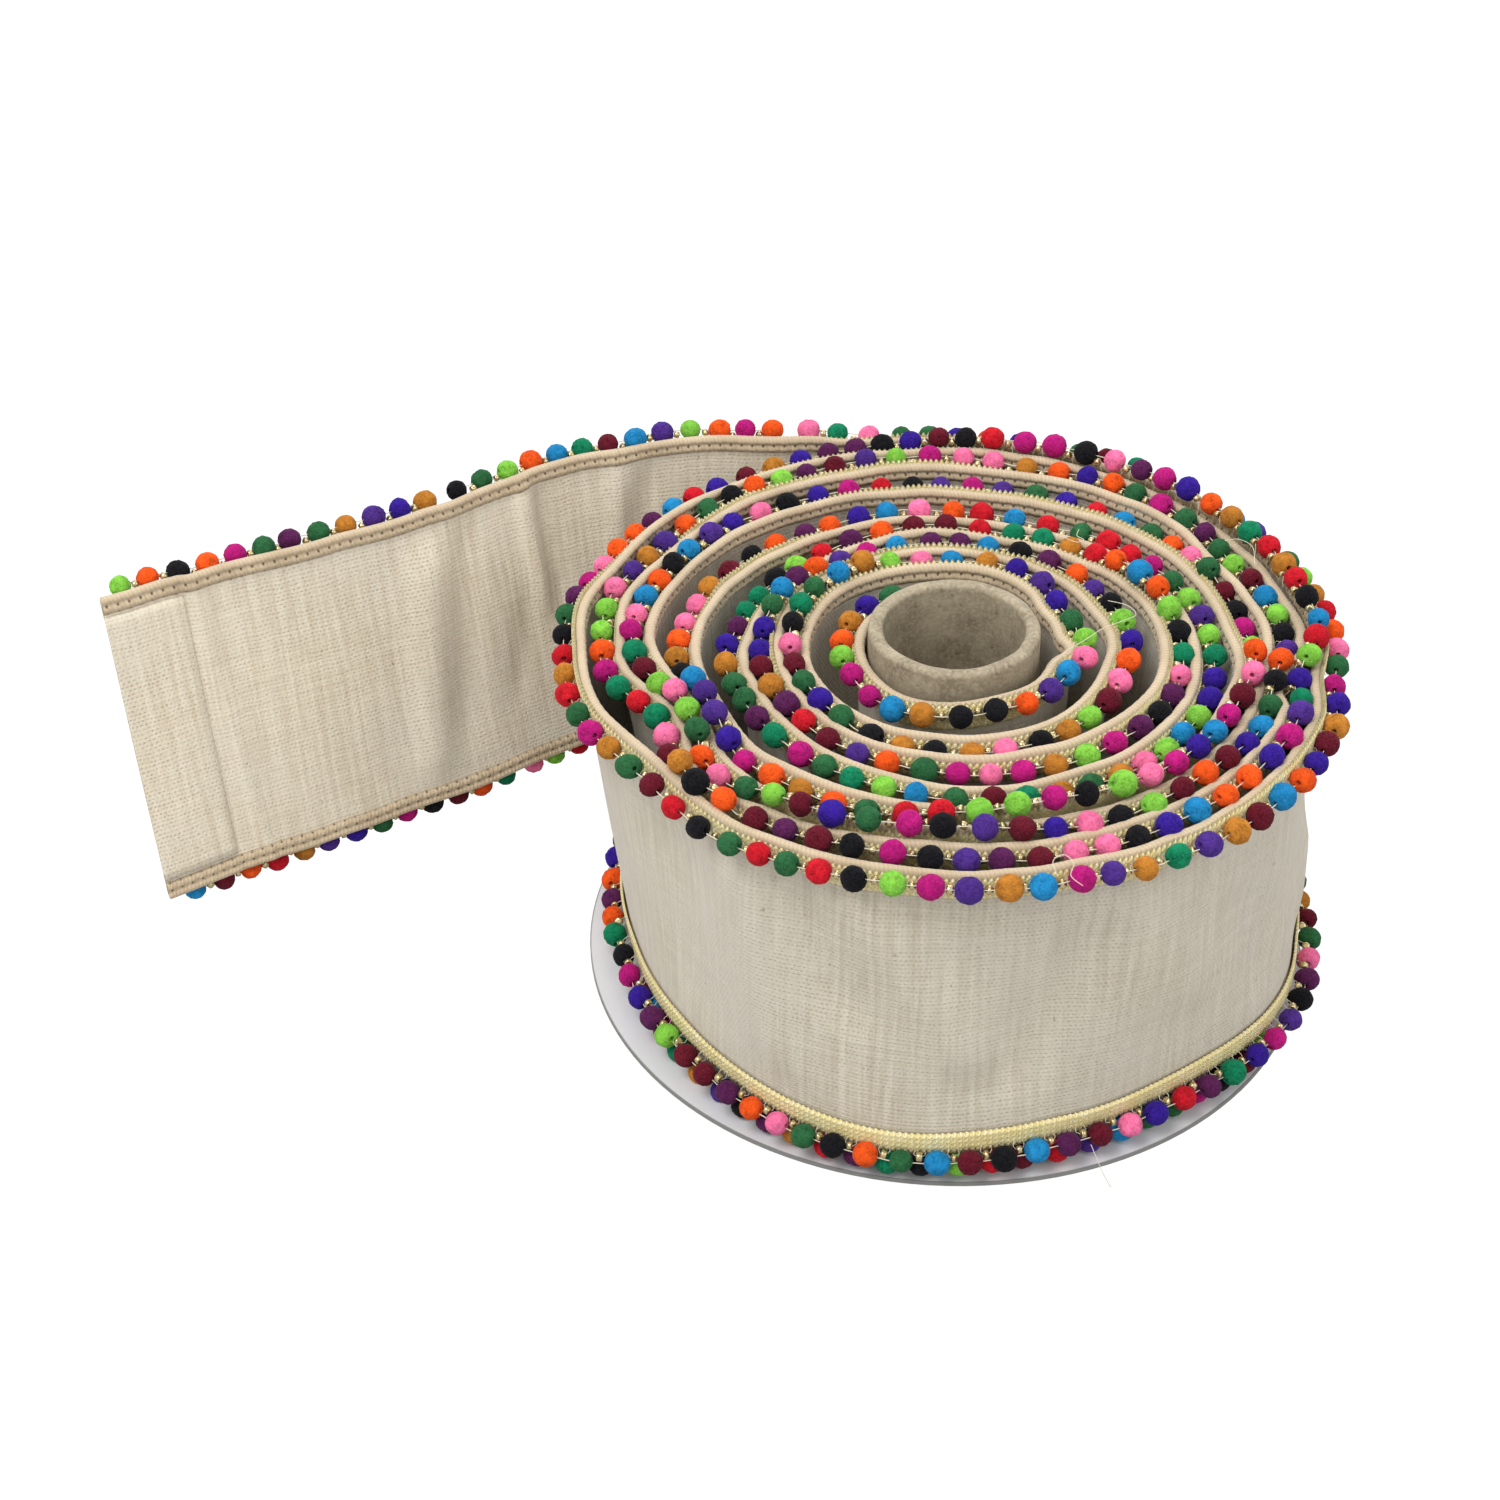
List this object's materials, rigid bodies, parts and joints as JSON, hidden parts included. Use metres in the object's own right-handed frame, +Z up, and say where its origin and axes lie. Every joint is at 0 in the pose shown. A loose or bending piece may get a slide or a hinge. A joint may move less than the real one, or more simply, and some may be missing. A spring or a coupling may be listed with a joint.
{
  "type": "ribbon spool",
  "caption": "Wide linen ribbon with gold braid and rows of coloured poms on both edges, wound on a card core on a round card base, with a loose tail.",
  "frame": {"origin": "core axis at the underside of the base disc", "axes": "+Z up the core's axis, +X from the loose tail towards the winding, +Y towards the side where the tail leaves the winding"},
  "size_m": [0.2309, 0.1549, 0.073],
  "materials": {
    "linen": "natural linen weave",
    "overlock": "satin-stitched rolled edge",
    "wire": "thin soft wire",
    "gold_braid": "metallic yarn braid",
    "seed_bead": "gold tube bead",
    "thread": "pale strong thread",
    "grey_card": "grey chipboard",
    "white_card": "white card",
    "pom_red": "flocked felt pom",
    "pom_maroon": "flocked felt pom",
    "pom_orange": "flocked felt pom",
    "pom_ochre": "flocked felt pom",
    "pom_lime": "flocked felt pom",
    "pom_emerald": "flocked felt pom",
    "pom_forest": "flocked felt pom",
    "pom_turquoise": "flocked felt pom",
    "pom_royal": "flocked felt pom",
    "pom_violet": "flocked felt pom",
    "pom_plum": "flocked felt pom",
    "pom_magenta": "flocked felt pom",
    "pom_pink": "flocked felt pom",
    "pom_black": "flocked felt pom"
  },
  "bodies": {
    "spool": {"base_disc": "white_card", "bead_threads_wound": "thread", "cloth_wound": "linen", "core_tube": "grey_card", "edge_wires_wound": "wire", "gold_braids_wound": "gold_braid", "lower_binding_wound": "overlock", "poms_black_wound": "pom_black", "poms_emerald_wound": "pom_emerald", "poms_forest_wound": "pom_forest", "poms_lime_wound": "pom_lime", "poms_magenta_wound": "pom_magenta", "poms_maroon_wound": "pom_maroon", "poms_ochre_wound": "pom_ochre", "poms_orange_wound": "pom_orange", "poms_pink_wound": "pom_pink", "poms_plum_wound": "pom_plum", "poms_red_wound": "pom_red", "poms_royal_wound": "pom_royal", "poms_turquoise_wound": "pom_turquoise", "poms_violet_wound": "pom_violet", "seed_beads_wound": "seed_bead", "upper_binding_wound": "overlock"},
    "tail_inner": {"bead_threads_tail_inner": "thread", "cloth_tail_inner": "linen", "edge_wires_tail_inner": "wire", "gold_braids_tail_inner": "gold_braid", "lower_binding_tail_inner": "overlock", "poms_black_tail_inner": "pom_black", "poms_emerald_tail_inner": "pom_emerald", "poms_lime_tail_inner": "pom_lime", "poms_magenta_tail_inner": "pom_magenta", "poms_maroon_tail_inner": "pom_maroon", "poms_orange_tail_inner": "pom_orange", "poms_pink_tail_inner": "pom_pink", "poms_red_tail_inner": "pom_red", "poms_turquoise_tail_inner": "pom_turquoise", "poms_violet_tail_inner": "pom_violet", "seed_beads_tail_inner": "seed_bead", "upper_binding_tail_inner": "overlock"},
    "tail_outer": {"bead_threads_tail_outer": "thread", "cloth_tail_outer": "linen", "edge_wires_tail_outer": "wire", "gold_braids_tail_outer": "gold_braid", "hem_tail_outer": "linen", "lower_binding_tail_outer": "overlock", "poms_black_tail_outer": "pom_black", "poms_forest_tail_outer": "pom_forest", "poms_magenta_tail_outer": "pom_magenta", "poms_maroon_tail_outer": "pom_maroon", "poms_ochre_tail_outer": "pom_ochre", "poms_orange_tail_outer": "pom_orange", "poms_plum_tail_outer": "pom_plum", "poms_red_tail_outer": "pom_red", "poms_royal_tail_outer": "pom_royal", "poms_turquoise_tail_outer": "pom_turquoise", "poms_violet_tail_outer": "pom_violet", "seed_beads_tail_outer": "seed_bead", "upper_binding_tail_outer": "overlock"}
  },
  "joints": [
    {"name": "tail_swing", "type": "hinge", "parent": "spool", "child": "tail_inner", "pos_m": [-0.0275, 0.0761, 0.03735], "axis": [0, 0, 1], "range_deg": [-30, 20]},
    {"name": "tail_curl", "type": "hinge", "parent": "tail_inner", "child": "tail_outer", "pos_m": [-0.08842, 0.05298, 0.03735], "axis": [-0.0987, 0.1324, 0.9863], "range_deg": [-30, 30]}
  ]
}
